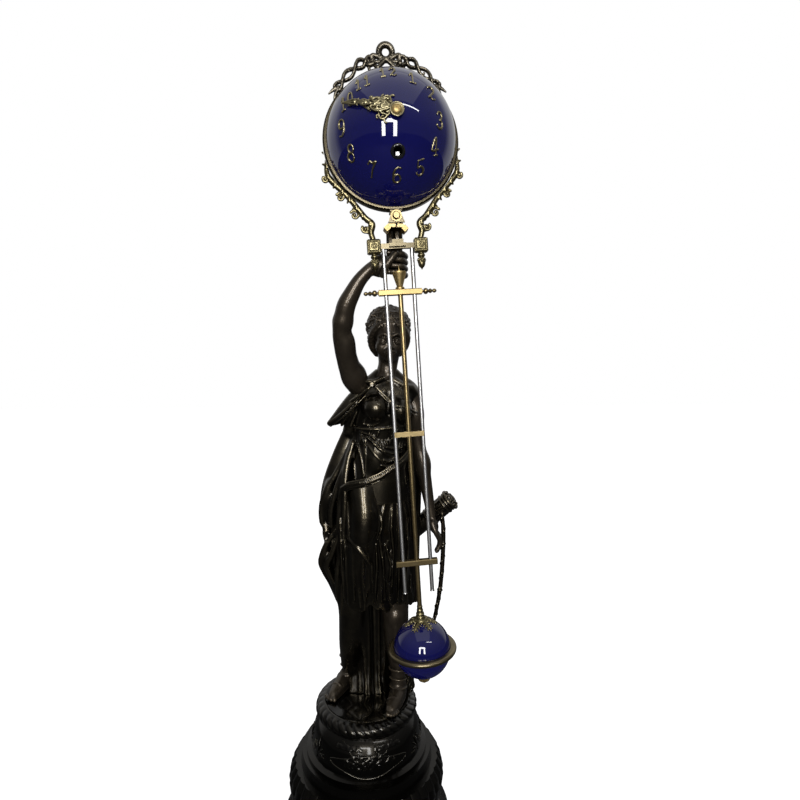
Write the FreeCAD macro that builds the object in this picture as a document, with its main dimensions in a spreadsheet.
import FreeCAD, Part
import math
import os
import re
from types import SimpleNamespace

import Sketcher
from FreeCAD import Placement, Rotation, Vector

# Mystery clock: a bronze figure holds up a post, and a clock ball with its long pendulum swings on it.
# Millimetres. Origin at the centre of the base's underside, +Z up, the dial faces -Y.
# The hanging unit is drawn plumb, from its pivot, and stands swung aside as photographed.

SIZES = {
    # pivot and swing
    "pivot_x": 28.0,
    "pivot_y": -63.0,
    "pivot_rise": 515.6,
    "rest_swing": 3.6,
    "pin_radius": 2.0,
    "pin_play": 0.05,
    "pin_reach": 9.0,
    "cap_radius": 3.7,
    "cap_thickness": 2.6,
    "washer_radius": 5.4,
    "washer_thickness": 1.0,
    "nut_radius": 3.6,
    "nut_thickness": 2.2,
    # ball dial
    "ball_rise": 70.0,
    "ball_radius": 59.0,
    "ball_wall": 2.0,
    "dial_hole_radius": 3.9,
    "winding_drop": 29.5,
    "grommet_bore": 4.0,
    "grommet_wall": 1.0,
    "grommet_lip": 1.6,
    "grommet_proud": 0.8,
    # ring between the half shells
    "ring_radius": 64.5,
    "ring_width": 9.0,
    "ring_bevel": 1.6,
    "ring_fit": 0.05,
    "web_thickness": 2.0,
    "web_bore": 48.0,
    # hanger under the ring
    "hanger_gap": 4.2,
    "hanger_thickness": 2.4,
    "hanger_drop": 6.0,
    "hanger_foot": 8.0,
    "hanger_neck": 3.4,
    "hanger_shoulder": 5.6,
    "saddle_clearance": 4.3,
    "saddle_height": 6.5,
    # yoke on the post
    "tongue_width": 7.0,
    "tongue_radius": 3.6,
    "yoke_drop": 7.4,
    "yoke_thickness": 3.0,
    "yoke_half_width": 7.6,
    "yoke_front": 6.5,
    "yoke_tail": 7.5,
    "stop_side": 4.8,
    "stop_offset": 8.4,
    "stop_drop": 11.4,
    "stop_front": 7.4,
    "stop_length": 13.2,
    # post in the hand
    "post_setback": 14.5,
    "post_radius": 8.2,
    "post_flute_depth": 1.3,
    "post_length": 40.0,
    "post_twist": 40.0,
    "post_flutes": 10.0,
    "post_peg_radius": 3.0,
    # frame under the ball
    "bar_drop": 27.0,
    "bar_height": 5.0,
    "bar_depth": 5.0,
    "block_offset": 22.7,
    "block_width": 13.0,
    "block_height": 12.0,
    "block_depth": 9.0,
    "block_bevel": 1.2,
    "acorn_length": 17.5,
    "acorn_radius": 4.4,
    "acorn_neck": 2.0,
    "step_width": 16.3,
    "step_height": 3.0,
    "step_depth": 4.0,
    "upper_step_width": 11.0,
    "upper_step_height": 3.4,
    "arm_thickness": 5.0,
    "arm_width": 4.4,
    "curl_radius": 4.6,
    # crest
    "crest_thickness": 4.0,
    "crest_width": 5.2,
    "wreath_rise": 152.0,
    "wreath_radius": 7.2,
    "wreath_tube": 2.4,
    "loop_offset": 12.0,
    "loop_rise": 147.5,
    "loop_radius": 6.2,
    "loop_hole": 3.0,
    # rods, bars and cup
    "rod_offset": 13.8,
    "rod_radius": 2.0,
    "rod_end_drop": 372.0,
    "rod_tip_radius": 2.6,
    "centre_rod_radius": 2.4,
    "upper_bar_drop": 71.0,
    "upper_bar_half": 21.0,
    "upper_bar_height": 5.7,
    "rail_depth": 6.4,
    "rail_bevel": 0.7,
    "middle_bar_drop": 209.4,
    "middle_bar_half": 14.6,
    "middle_bar_height": 5.0,
    "middle_bar_depth": 2.4,
    "collar_radius": 4.2,
    "lower_bar_drop": 340.2,
    "lower_bar_half": 20.8,
    "finial_length": 14.7,
    "finial_radius": 3.0,
    "finial_neck": 1.3,
    "cup_top_drop": 51.5,
    "cup_radius": 6.8,
    "cup_neck": 3.0,
    "cup_rim": 1.4,
    "cup_tip_length": 7.0,
    "cup_tip_radius": 1.3,
    # bob
    "bob_drop": 429.2,
    "bob_radius": 29.0,
    "bob_wall": 1.6,
    "bob_ring_radius": 34.9,
    "bob_ring_bead": 2.5,
    "bob_web": 1.6,
    "bob_web_bore": 22.0,
    "bob_ring_fit": 0.4,
    "leaf_thickness": 1.2,
    "leaf_reach": 17.0,
    "leaf_notch": 9.5,
    "leaf_count": 6.0,
    "bob_socket_radius": 4.6,
    "bob_socket_height": 17.0,
    "bob_socket_neck": 3.2,
    "nut_play": 0.05,
    "rating_nut_radius": 6.0,
    "rating_nut_height": 4.4,
    "rating_screw_radius": 1.5,
    "rating_screw_tail": 3.0,
    "bob_foot_gap": 0.3,
    # movement plates
    "front_plate_set": 16.0,
    "back_plate_set": 12.0,
    "plate_thickness": 1.8,
    "front_plate_radius": 42.0,
    "back_plate_radius": 54.0,
    "standoff_radius": 2.2,
    "standoff_circle": 51.0,
    "pillar_radius": 2.4,
    "pillar_high_x": 27.0,
    "pillar_high_z": 28.0,
    "pillar_low_x": 34.0,
    "pillar_low_z": 8.0,
    "pivot_hole_play": 0.05,
    "arbor_radius": 1.1,
    "arbor_tip": 0.8,
    "end_shake": 0.15,
    "collet_radius": 3.0,
    # barrel
    "barrel_radius": 15.5,
    "barrel_wall": 1.2,
    "barrel_front": 8.0,
    "barrel_back": 5.0,
    "great_wheel_width": 2.0,
    "winding_radius": 2.4,
    "winding_square": 3.4,
    "winding_square_reach": 49.0,
    "ratchet_radius": 6.0,
    "ratchet_depth": 1.1,
    "ratchet_width": 1.6,
    "click_thickness": 1.4,
    "click_arm": 11.0,
    "click_width": 2.6,
    "click_gap": 0.3,
    "spring_start": 4.0,
    "spring_pitch": 1.5,
    "spring_strip": 0.45,
    "spring_gap": 0.5,
    # going train, counted from the dial side
    "third_distance": 20.0,
    "escape_distance": 16.0,
    "wheel_width": 1.4,
    "pinion_width": 3.6,
    "centre_pinion_set": 4.2,
    "centre_wheel_set": 11.2,
    "third_wheel_set": 4.0,
    "third_pinion_set": 12.3,
    "escape_pinion_set": 5.1,
    "escape_wheel_set": 2.0,
    "escape_radius": 9.6,
    "escape_tooth": 1.9,
    "wheel_rim": 2.0,
    "spoke_width": 1.5,
    "pallet_rise": 12.5,
    "pallet_width": 2.2,
    "pallet_arm": 1.8,
    "pallet_clear": 0.5,
    "pallet_tip": 1.0,
    "crutch_set": 18.0,
    "inner_rod_radius": 0.9,
    "inner_rod_length": 40.0,
    "inner_bob_radius": 7.0,
    "inner_bob_thickness": 4.0,
    # motion work in front of the front plate
    "motion_distance": 14.0,
    "cannon_set": 19.4,
    "cannon_width": 2.0,
    "minute_wheel_set": 19.1,
    "minute_pinion_set": 23.2,
    "hour_wheel_set": 22.6,
    "cannon_pipe_radius": 2.0,
    "hour_pipe_play": 0.06,
    "hour_pipe_wall": 0.9,
    "stud_radius": 1.0,
    # hands
    "hour_hand_float": 2.2,
    "minute_hand_float": 4.2,
    "hand_thickness": 1.0,
    "hour_hand_length": 31.0,
    "minute_hand_length": 49.0,
    "hand_hub_radius": 4.6,
    "hand_body_width": 9.0,
    "hand_stem_width": 2.6,
    "hub_nut_radius": 3.4,
    "hub_nut_height": 2.0,
    "hand_angle": 294.0,
    # standing part: base
    "foot_radius": 94.0,
    "foot_height": 8.0,
    "foot_step": 14.0,
    "waist_radius": 79.0,
    "waist_step": 8.0,
    "flute_lower_run": 28.0,
    "flute_upper_run": 18.0,
    "flute_low_radius": 78.0,
    "flute_mid_radius": 86.0,
    "flute_high_radius": 79.0,
    "flute_depth": 1.6,
    "flute_count": 44.0,
    "ledge_step": 12.0,
    "ledge_radius": 67.5,
    "ledge_lip": 3.0,
    "dome_foot_radius": 62.0,
    "dome_rise": 39.0,
    "dome_top_radius": 50.0,
    "dome_shoulder": 58.5,
    "mound_rise": 16.0,
    "mound_radius": 58.0,
    "mound_bead": 8.0,
    "base_wall": 5.0,
    "bottom_plate_thickness": 3.0,
    "felt_thickness": 1.5,
    "tie_radius": 3.0,
    "tie_nut_radius": 6.5,
    "tie_nut_height": 5.0,
    "tie_bury": 12.0,
    # figure
    "figure_height": 441.0,
    "stump_radius": 12.0,
    "stump_height": 72.0,
    "stump_lean": 16.0,
    "stump_x": 57.0,
    "stump_y": 14.0,
    "quiver_radius": 11.0,
    "quiver_length": 62.0,
    "quiver_lip": 2.0,
    "bow_radius": 2.4,
    "cape_depth": 15.0,
    "cape_y": 8.0,
    "fist_radius": 10.4,
    "overrun": 40.0,
}

# Heights that stand one on another, from the foot up.
HEIGHTS = {
    "foot_rise": "=foot_height + foot_step",
    "flute_low": "=foot_rise + waist_step",
    "flute_mid": "=flute_low + flute_lower_run",
    "flute_high": "=flute_mid + flute_upper_run",
    "ledge_height": "=flute_high + ledge_step",
    "dome_height": "=ledge_height + dome_rise",
    "ground_height": "=dome_height + mound_rise",
    "pivot_z": "=ground_height + pivot_rise",
}

doc = FreeCAD.newDocument("mystery_clock")
sheet = doc.addObject("Spreadsheet::Sheet", "Sizes")
for row, (alias, value) in enumerate({**SIZES, **HEIGHTS}.items(), start=1):
    sheet.set(f"A{row}", alias)
    sheet.set(f"B{row}", str(value))
    sheet.setAlias(f"B{row}", alias)
doc.recompute()
size = SimpleNamespace(**{alias: float(sheet.get(alias)) for alias in (*SIZES, *HEIGHTS)})
parts = []


def in_sheet(formula):
    """A formula in the sheet's own words, with each size named as a cell."""
    return re.sub(
        r"[a-z][a-z_]*[a-z]",
        lambda word: f"Sizes.{word.group()}" if word.group() in {**SIZES, **HEIGHTS} else word.group(),
        formula,
    )


def worth(formula):
    """The formula's value now."""
    return float(sheet.evalExpression(in_sheet(formula)))


def bind(item, prop, formula):
    """Ties a property to the sheet."""
    item.setExpression(prop, in_sheet(formula))


def bind_base(item, formulas, prop="Placement"):
    """Ties the place of an object to three formulas."""
    for letter, formula in zip("xyz", formulas):
        if formula != "0":
            bind(item, f"{prop}.Base.{letter}", formula)


def hang(item):
    """Hangs an object, drawn plumb from the pivot, on the pivot and swings it aside."""
    item.Placement = Placement(Vector(), Rotation(Vector(0, -1, 0), size.rest_swing))
    bind_base(item, ("pivot_x", "pivot_y", "pivot_z"))
    bind(item, "Placement.Rotation.Angle", "rest_swing")


def keep(item, label, hung=True):
    """Names a finished sub-part and lists it for writing."""
    item.Label = label
    if hung:
        hang(item)
    parts.append(item)
    return item


# Sketches and features


def new_body(label):
    """An empty body."""
    return doc.addObject("PartDesign::Body", label)


def new_sketch(body, plane, at=("0", "0", "0")):
    """A sketch on one of the body's own planes, moved in that plane and off it by formulas."""
    sketch = body.newObject("Sketcher::SketchObject", f"{body.Name}_outline")
    face = next(item for item in body.Origin.OriginFeatures if item.Role == f"{plane}_Plane")
    sketch.AttachmentSupport = [(face, "")]
    sketch.MapMode = "FlatFace"
    bind_base(sketch, at, "AttachmentOffset")
    return sketch


def arc_middle(start, end, radius):
    """Middle point of the arc between two points, on the right of the way from start to end."""
    chord = end - start
    half = chord.Length / 2
    rise = abs(radius) - math.sqrt(max(radius * radius - half * half, 0))
    side = Vector(chord.y, -chord.x, 0).normalize()
    return (start + end) / 2 + side * math.copysign(rise, radius)


def add_outline(sketch, corners):
    """A closed outline. A corner is two formulas, and a third is the radius of the arc that follows."""
    first = sketch.GeometryCount
    count = len(corners)
    points = [Vector(worth(corner[0]), worth(corner[1]), 0) for corner in corners]
    for index, corner in enumerate(corners):
        start = points[index]
        end = points[(index + 1) % count]
        if len(corner) == 3:
            middle = arc_middle(start, end, worth(corner[2]))
            sketch.addGeometry(Part.Arc(start, middle, end))
        else:
            sketch.addGeometry(Part.LineSegment(start, end))
    ends = []
    for index in range(count):
        curve = sketch.Geometry[first + index]
        opens_forward = (curve.StartPoint - points[index]).Length < (curve.EndPoint - points[index]).Length
        ends.append((1, 2) if opens_forward else (2, 1))
    for index, corner in enumerate(corners):
        following = (index + 1) % count
        pair = ("Coincident", first + index, ends[index][1], first + following, ends[following][0])
        sketch.addConstraint(Sketcher.Constraint(*pair))
        for kind, formula in (("DistanceX", corner[0]), ("DistanceY", corner[1])):
            value = worth(formula)
            number = sketch.addConstraint(Sketcher.Constraint(kind, first + index, ends[index][0], value))
            bind(sketch, f"Constraints[{number}]", formula)
        if len(corner) == 3:
            radius = abs(worth(corner[2]))
            number = sketch.addConstraint(Sketcher.Constraint("Radius", first + index, radius))
            bind(sketch, f"Constraints[{number}]", f"abs({corner[2]})")


def add_circle(sketch, across, up, radius):
    """A circle whose centre and radius are formulas."""
    centre = Vector(worth(across), worth(up), 0)
    index = sketch.addGeometry(Part.Circle(centre, Vector(0, 0, 1), worth(radius)))
    for kind, formula in (("DistanceX", across), ("DistanceY", up)):
        number = sketch.addConstraint(Sketcher.Constraint(kind, index, 3, worth(formula)))
        bind(sketch, f"Constraints[{number}]", formula)
    number = sketch.addConstraint(Sketcher.Constraint("Radius", index, worth(radius)))
    bind(sketch, f"Constraints[{number}]", radius)


def revolve(body, sketch, axis):
    """Turns a sketch about one of its own axes."""
    feature = body.newObject("PartDesign::Revolution", f"{body.Name}_turned")
    feature.Profile = sketch
    feature.ReferenceAxis = (sketch, [axis])
    feature.Angle = 360.0
    return feature


def pad(body, sketch, length, both_sides=True):
    """Raises a sketch, to both sides of its plane alike or along its normal."""
    feature = body.newObject("PartDesign::Pad", f"{body.Name}_pad")
    feature.Profile = sketch
    feature.Midplane = both_sides
    bind(feature, "Length", length)
    return feature


def turned_on_z(label, corners, x="0", y="0"):
    """A body turned about an upright axis; corners are radius and height."""
    body = new_body(label)
    sketch = new_sketch(body, "XZ", (x, "0", f"-({y})"))
    add_outline(sketch, corners)
    revolve(body, sketch, "V_Axis")
    return body


def turned_on_y(label, corners, x="0", z="0"):
    """A body turned about a front-to-back axis; corners are depth and radius."""
    body = new_body(label)
    sketch = new_sketch(body, "YZ", ("0", z, x))
    add_outline(sketch, corners)
    revolve(body, sketch, "H_Axis")
    return body


def turned_on_x(label, corners, z="0"):
    """A body turned about a crosswise axis; corners are place across and radius."""
    body = new_body(label)
    sketch = new_sketch(body, "XZ", ("0", z, "0"))
    add_outline(sketch, corners)
    revolve(body, sketch, "H_Axis")
    return body


def plate_body(label, corners, thickness, y="0", holes=()):
    """A body raised from a front outline, about the depth y; holes are across, up and radius."""
    body = new_body(label)
    sketch = new_sketch(body, "XZ", ("0", "0", f"-({y})"))
    add_outline(sketch, corners)
    for hole in holes:
        add_circle(sketch, *hole)
    pad(body, sketch, thickness)
    return body


def rod(name, radius, length, x="0", y="0", z="0", along=None):
    """A plain cylinder from a place, upright or along a given direction."""
    item = doc.addObject("Part::Cylinder", name)
    bind(item, "Radius", radius)
    bind(item, "Height", length)
    if along is not None:
        item.Placement = Placement(Vector(), Rotation(Vector(0, 0, 1), along))
    bind_base(item, (x, y, z))
    return item


def block(name, widths, corner):
    """A plain box from its low corner."""
    item = doc.addObject("Part::Box", name)
    for prop, formula in zip(("Length", "Width", "Height"), widths):
        bind(item, prop, formula)
    bind_base(item, corner)
    return item


def joined(name, items):
    """Several bodies made one."""
    item = doc.addObject("Part::MultiFuse", name)
    item.Shapes = items
    return item


def cut(name, base, tool):
    """One body less another."""
    item = doc.addObject("Part::Cut", name)
    item.Base = base
    item.Tool = tool
    return item


def together(name, items):
    """Separate solids under one name."""
    item = doc.addObject("Part::Compound", name)
    item.Links = items
    return item


def mirrored(name, source):
    """The same piece on the other side of the plumb line."""
    item = doc.addObject("Part::Mirroring", name)
    item.Source = source
    item.Normal = Vector(1, 0, 0)
    return item


def shaped(name, shape):
    """A piece whose form is worked out below from the sheet's sizes."""
    item = doc.addObject("Part::Feature", name)
    item.Shape = shape
    return item


# Forms

OVAL_SIDES = 24


def front_face(points, depth, thickness):
    """A slab with a front outline of straight sides, its front face at the given depth."""
    corners = [Vector(x, depth, z) for x, z in points]
    return Part.Face(Part.makePolygon(corners + corners[:1])).extrude(Vector(0, thickness, 0))


def disc(radius, depth, thickness, x=0.0, z=0.0):
    """A round slab facing front, its front face at the given depth."""
    return Part.makeCylinder(radius, thickness, Vector(x, depth, z), Vector(0, 1, 0))


def toothed(teeth, module, depth, thickness, x, z, aim, slender):
    """A toothed disc facing front, with the middle of one tooth aimed at an angle from +X to +Z."""
    pitch_radius = teeth * module / 2
    step = 2 * math.pi / teeth
    flank_shares = ((-1.2, 0.30), (0.0, 0.215), (0.9, 0.10))
    points = []
    for tooth in range(teeth):
        middle = aim + tooth * step
        rising = [(pitch_radius + rise * module, -half * slender) for rise, half in flank_shares]
        falling = [(radius, -half) for radius, half in reversed(rising)]
        for radius, half in rising + falling:
            angle = middle + half * step
            points.append((x + radius * math.cos(angle), z + radius * math.sin(angle)))
    return front_face(points, depth, thickness)


def crossed(wheel, radius, depth, thickness, x, z, spokes):
    """A wheel with the windows between its spokes cut out."""
    inner = size.collet_radius + size.spoke_width / 2
    outer = radius - size.wheel_rim
    window = disc(outer, depth, thickness, x, z).cut(disc(inner, depth, thickness, x, z))
    for spoke in range(spokes):
        bar = Part.makeBox(outer, thickness, size.spoke_width, Vector(x, depth, z - size.spoke_width / 2))
        bar.rotate(Vector(x, 0, z), Vector(0, 1, 0), 360 * spoke / spokes)
        window = window.cut(bar)
    return wheel.cut(window)


def ribbon(points, widths, depth, thickness):
    """A flat strip on edge: a smooth line in the front plane, given width, raised from front to back."""
    left = []
    right = []
    for index, (x, z) in enumerate(points):
        before = points[max(index - 1, 0)]
        after = points[min(index + 1, len(points) - 1)]
        way = Vector(after[0] - before[0], 0, after[1] - before[1]).normalize()
        side = Vector(-way.z, 0, way.x) * widths[index] / 2
        left.append(Vector(x, depth, z) + side)
        right.append(Vector(x, depth, z) - side)
    edges = []
    for run in (left, right):
        curve = Part.BSplineCurve()
        curve.interpolate(run)
        edges.append(curve.toShape())
    edges.append(Part.makeLine(left[0], right[0]))
    edges.append(Part.makeLine(left[-1], right[-1]))
    wire = Part.Wire(Part.sortEdges(edges)[0])
    return Part.Face(wire).extrude(Vector(0, thickness, 0))


def oval(centre, half_width, half_depth, way=None):
    """A many-sided oval wire, level or square to a given way."""
    turn = Rotation() if way is None else Rotation(Vector(0, 0, 1), way)
    points = []
    for side in range(OVAL_SIDES):
        angle = 2 * math.pi * side / OVAL_SIDES
        points.append(centre + turn.multVec(Vector(half_width * math.cos(angle), half_depth * math.sin(angle), 0)))
    return Part.makePolygon(points + points[:1])


def level_loft(rows, scale, ground):
    """A form through level ovals: rows are shares of height, x, y, half width and half depth."""
    wires = []
    for height, x, y, half_width, half_depth in rows:
        centre = Vector(x * scale, y * scale, ground + height * scale)
        wires.append(oval(centre, half_width * scale, half_depth * scale))
    return Part.makeLoft(wires, True, True)


def limb(rows, scale, ground, squash=1.0):
    """A round limb: rows are shares of x, y, height and radius."""
    points = [Vector(x * scale, y * scale, ground + height * scale) for x, y, height, girth in rows]
    wires = []
    for index, row in enumerate(rows):
        way = points[min(index + 1, len(points) - 1)] - points[max(index - 1, 0)]
        radius = row[3] * scale
        wires.append(oval(points[index], radius, radius * squash, way.normalize()))
    return Part.makeLoft(wires, True, True)


# Ball: two half shells with the brass ring between them

half_web = "web_thickness / 2"


def half_shell(label, radius, wall, level, waste, bores):
    """Half of a hollow ball: what is left of it outside a waste box and some bores."""
    balls = []
    for name, formula in (("skin", radius), ("room", f"{radius} - {wall}")):
        ball = doc.addObject("Part::Sphere", f"{label}_{name}")
        bind(ball, "Radius", formula)
        bind_base(ball, ("0", "0", level))
        balls.append(ball)
    hollow = cut(f"{label}_hollow", balls[0], balls[1])
    keep(cut(label, hollow, joined(f"{label}_waste", [waste] + bores)), label)


def dial_shells():
    """Front half of the ball, with the holes for the hands and the key, and the closed rear half."""
    width = "3 * ball_radius"
    low = ("-1.5 * ball_radius", "ball_rise - 1.5 * ball_radius")
    behind = block("front_waste", (width, width, width), (low[0], f"-({half_web})", low[1]))
    bores = [
        rod("hands_hole", "dial_hole_radius", "2 * ball_radius", y="-2 * ball_radius", z="ball_rise",
            along=Vector(0, 1, 0)),
        rod("key_hole", "grommet_bore + grommet_wall", "2 * ball_radius", y="-2 * ball_radius",
            z="ball_rise - winding_drop", along=Vector(0, 1, 0)),
    ]
    half_shell("dial_front_shell", "ball_radius", "ball_wall", "ball_rise", behind, bores)
    before = block("rear_waste", (width, width, width), (low[0], f"{half_web} - {width}", low[1]))
    spare = block("rear_spare", ("ball_wall", "ball_wall", "ball_wall"), ("0", "-2 * ball_wall", "ball_rise"))
    half_shell("dial_rear_shell", "ball_radius", "ball_wall", "ball_rise", before, [spare])


def bezel_ring():
    """Ring that closes the ball, with an inner web that the shells and the movement seat on."""
    half = "ring_width / 2"
    bore = "ball_radius + ring_fit"
    corners = [
        (f"-({half})", bore),
        (f"-({half})", "ring_radius - ring_bevel"),
        (f"-({half}) + ring_bevel", "ring_radius"),
        (f"{half} - ring_bevel", "ring_radius"),
        (half, "ring_radius - ring_bevel"),
        (half, bore),
        (half_web, bore),
        (half_web, "web_bore"),
        (f"-({half_web})", "web_bore"),
        (f"-({half_web})", bore),
    ]
    keep(turned_on_y("bezel_ring", corners, z="ball_rise"), "bezel_ring")


def winding_grommet():
    """Lined winding hole, its lip curved to the ball."""
    centre = Vector(0, 0, size.ball_rise)
    level = size.ball_rise - size.winding_drop
    outer = size.grommet_bore + size.grommet_wall
    reach = size.ball_radius + size.grommet_proud
    skin = Part.makeSphere(reach, centre)
    lip = disc(outer + size.grommet_lip, -size.ball_radius - size.overrun, size.ball_radius, 0, level)
    lip = lip.common(skin).cut(Part.makeSphere(size.ball_radius, centre))
    tube = disc(outer, -size.ball_radius - size.overrun, size.ball_radius, 0, level).common(skin)
    tube = tube.cut(Part.makeSphere(size.ball_radius - size.ball_wall - size.grommet_proud, centre))
    bore = disc(size.grommet_bore, -size.ball_radius - size.overrun, size.ball_radius + size.overrun, 0, level)
    keep(shaped("winding_grommet", lip.fuse(tube).cut(bore).removeSplitter()), "winding_grommet")


dial_shells()
bezel_ring()
winding_grommet()

# Suspension: hanger and pin on the ball, yoke and stops on the post


def hanger():
    """Two bell shaped cheeks and the saddle under the ring that joins them."""
    cheeks = []
    cheek_set = "hanger_gap + hanger_thickness / 2"
    corners = [
        ("-hanger_foot", "-hanger_drop"),
        ("hanger_foot", "-hanger_drop"),
        ("hanger_neck + hanger_thickness", "0"),
        ("hanger_neck", "saddle_clearance"),
        ("hanger_shoulder", "saddle_clearance + saddle_height"),
        ("-hanger_shoulder", "saddle_clearance + saddle_height"),
        ("-hanger_neck", "saddle_clearance"),
        ("-(hanger_neck + hanger_thickness)", "0"),
    ]
    for name, side in (("front_cheek", "-"), ("rear_cheek", "")):
        depth = f"{side}({cheek_set})"
        cheeks.append(plate_body(name, corners, "hanger_thickness", depth, [("0", "0", "pin_radius")]))
    reach = "hanger_gap + hanger_thickness"
    saddle = block(
        "saddle",
        ("2 * hanger_shoulder", f"2 * ({reach})", "saddle_height"),
        ("-hanger_shoulder", f"-({reach})", "saddle_clearance"),
    )
    whole = joined("hanger_blank", cheeks + [saddle])
    ball = rod(
        "ring_room", "ring_radius", f"2 * ({reach}) + overrun",
        y=f"-({reach}) - overrun / 2", z="ball_rise", along=Vector(0, 1, 0),
    )
    keep(cut("hanger", whole, ball), "hanger")


def pivot_pin():
    """Pin through the hanger and the yoke's tongue, capped in front, with a nut behind."""
    cheek = "hanger_gap + hanger_thickness"
    front = f"-({cheek}) - washer_thickness"
    corners = [
        (f"{front} - cap_thickness", "0"),
        (f"{front} - cap_thickness", "cap_radius - cap_thickness / 3"),
        (f"{front} - cap_thickness / 2", "cap_radius"),
        (front, "cap_radius"),
        (front, "washer_radius"),
        (f"-({cheek})", "washer_radius"),
        (f"-({cheek})", "pin_radius"),
        ("pin_reach", "pin_radius"),
        ("pin_reach", "0"),
    ]
    pin = turned_on_y("pin", corners)
    nut = shaped("pin_nut", hexagon(size.nut_radius, size.hanger_gap + size.hanger_thickness))
    keep(together("pivot_pin", [pin, nut]), "pivot_pin")


def hexagon(radius, depth):
    """A six-sided nut on the pin."""
    corners = [(radius * math.cos(math.radians(60 * n)), radius * math.sin(math.radians(60 * n))) for n in range(6)]
    nut = front_face(corners, depth, size.nut_thickness)
    return nut.cut(disc(size.pin_radius, depth, size.nut_thickness))


def yoke():
    """Level plate on the post, with the bored tongue that carries the pin."""
    plate = block(
        "yoke_plate",
        ("2 * yoke_half_width", "yoke_front + post_setback + yoke_tail", "yoke_thickness"),
        ("-yoke_half_width", "-yoke_front", "-yoke_drop - yoke_thickness"),
    )
    corners = [
        ("-tongue_radius", "-yoke_drop - yoke_thickness / 2"),
        ("tongue_radius", "-yoke_drop - yoke_thickness / 2"),
        ("tongue_radius", "0", "tongue_radius"),
        ("0", "tongue_radius", "tongue_radius"),
        ("-tongue_radius", "0"),
    ]
    tongue = plate_body("tongue", corners, "tongue_width", "0", [("0", "0", "pin_radius + pin_play")])
    whole = joined("yoke_blank", [plate, tongue])
    notches = together("stop_notches", [stop_bar(side) for side in (-1, 1)])
    item = cut("yoke", whole, notches)
    keep(item, "yoke", hung=False)
    bind_base(item, ("pivot_x", "pivot_y", "pivot_z"))


def stop_bar(side):
    """Square bar laid on its edge beside the plate, where the hanger's foot would land."""
    half = size.stop_side / math.sqrt(2)
    centre = (side * size.stop_offset, -size.stop_drop)
    points = [(centre[0] + half * dx, centre[1] + half * dz) for dx, dz in ((1, 0), (0, 1), (-1, 0), (0, -1))]
    return shaped("stop_bar", front_face(points, -size.stop_front, size.stop_length))


def stop_bars():
    """The two stops, let into the plate's underside."""
    item = keep(together("stop_bars", [stop_bar(side) for side in (-1, 1)]), "stop_bars", hung=False)
    bind_base(item, ("pivot_x", "pivot_y", "pivot_z"))


def hand_post():
    """Post with slanting flutes, under the yoke and down into the hand."""
    flutes = int(size.post_flutes)
    wires = []
    levels = 4
    top = -size.yoke_drop - size.yoke_thickness
    for level in range(levels + 1):
        share = level / levels
        turn = math.radians(size.post_twist) * share
        points = []
        for corner in range(2 * flutes):
            radius = size.post_radius - (corner % 2) * size.post_flute_depth
            angle = turn + math.pi * corner / flutes
            points.append(Vector(radius * math.cos(angle), radius * math.sin(angle), top - size.post_length * share))
        wires.append(Part.makePolygon(points + points[:1]))
    item = keep(shaped("hand_post", Part.makeLoft(wires, True, True)), "hand_post", hung=False)
    bind_base(item, ("pivot_x", "pivot_y + post_setback", "pivot_z"))


hanger()
pivot_pin()
yoke()
stop_bars()
hand_post()

# Frame under the ball: arms, blocks with acorn drops, cross bar

bar_under = "bar_drop + bar_height / 2"
block_low = "bar_drop + block_height / 2"


def scroll_arm(side):
    """Arm from the ring's flank down to a corner block, curled at its end."""
    reach = size.block_offset
    top = size.bar_drop - size.block_height / 2
    rise = size.ball_rise + top
    path_shares = ((2.62, 0.80), (2.36, 0.62), (2.06, 0.48), (1.66, 0.34), (1.22, 0.24), (0.92, 0.14), (0.96, 0.0))
    width_shares = (0.5, 1.1, 1.2, 1.0, 1.1, 1.2, 1.3)
    points = [(side * x * reach, -top + z * rise) for x, z in path_shares]
    widths = [share * size.arm_width for share in width_shares]
    strip = ribbon(points, widths, -size.arm_thickness / 2, size.arm_thickness)
    curl_places = ((1.10, 0.135), (1.80, 0.44), (2.44, 0.74))
    for x, z in curl_places:
        centre = (side * x * reach, -top + z * rise)
        strip = strip.fuse(disc(size.curl_radius, -size.arm_thickness / 2, size.arm_thickness, *centre))
    room = disc(size.ring_radius, -size.arm_thickness, 2 * size.arm_thickness, 0, size.ball_rise)
    floor = Part.makeBox(
        size.overrun + reach, 2 * size.arm_thickness, size.block_height,
        Vector(-size.overrun if side < 0 else -reach, -size.arm_thickness, -top - size.block_height),
    )
    name = "scroll_arm_left" if side < 0 else "scroll_arm_right"
    solid = largest(strip.cut(room).cut(floor))
    keep(shaped(name, solid), name)


def largest(shape):
    """The largest solid of a shape."""
    return max(shape.Solids, key=lambda solid: solid.Volume)


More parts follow.
